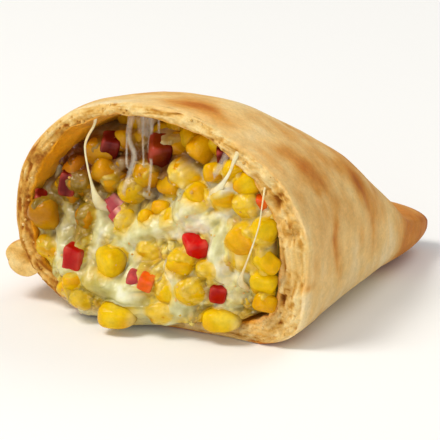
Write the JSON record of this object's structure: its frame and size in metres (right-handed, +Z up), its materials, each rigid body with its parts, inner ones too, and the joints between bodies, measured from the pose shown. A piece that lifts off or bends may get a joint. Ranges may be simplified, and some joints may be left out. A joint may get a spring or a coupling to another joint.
{
  "type": "humita empanada half",
  "caption": "Baked humita empanada cut across its middle, golden shortcrust with a crimped seam and an open cut face showing sweet corn, melted cheese and diced red pepper",
  "frame": {"origin": "under the middle of the half's bounding box, on the surface it rests on", "axes": "+Z up, the cut faces -Y and the tip points to +Y, the smooth fold is on the +X side and the crimped seam runs round the -X side"},
  "size_m": [0.0751, 0.0824, 0.0486],
  "materials": {
    "crust": "baked shortcrust pastry, pale gold with browned patches, satin",
    "filling": "sweet corn and red pepper in melted cheese, moist and glossy"
  },
  "bodies": {
    "root": {"pastry_case": "crust", "filling": "filling"}
  },
  "joints": []
}
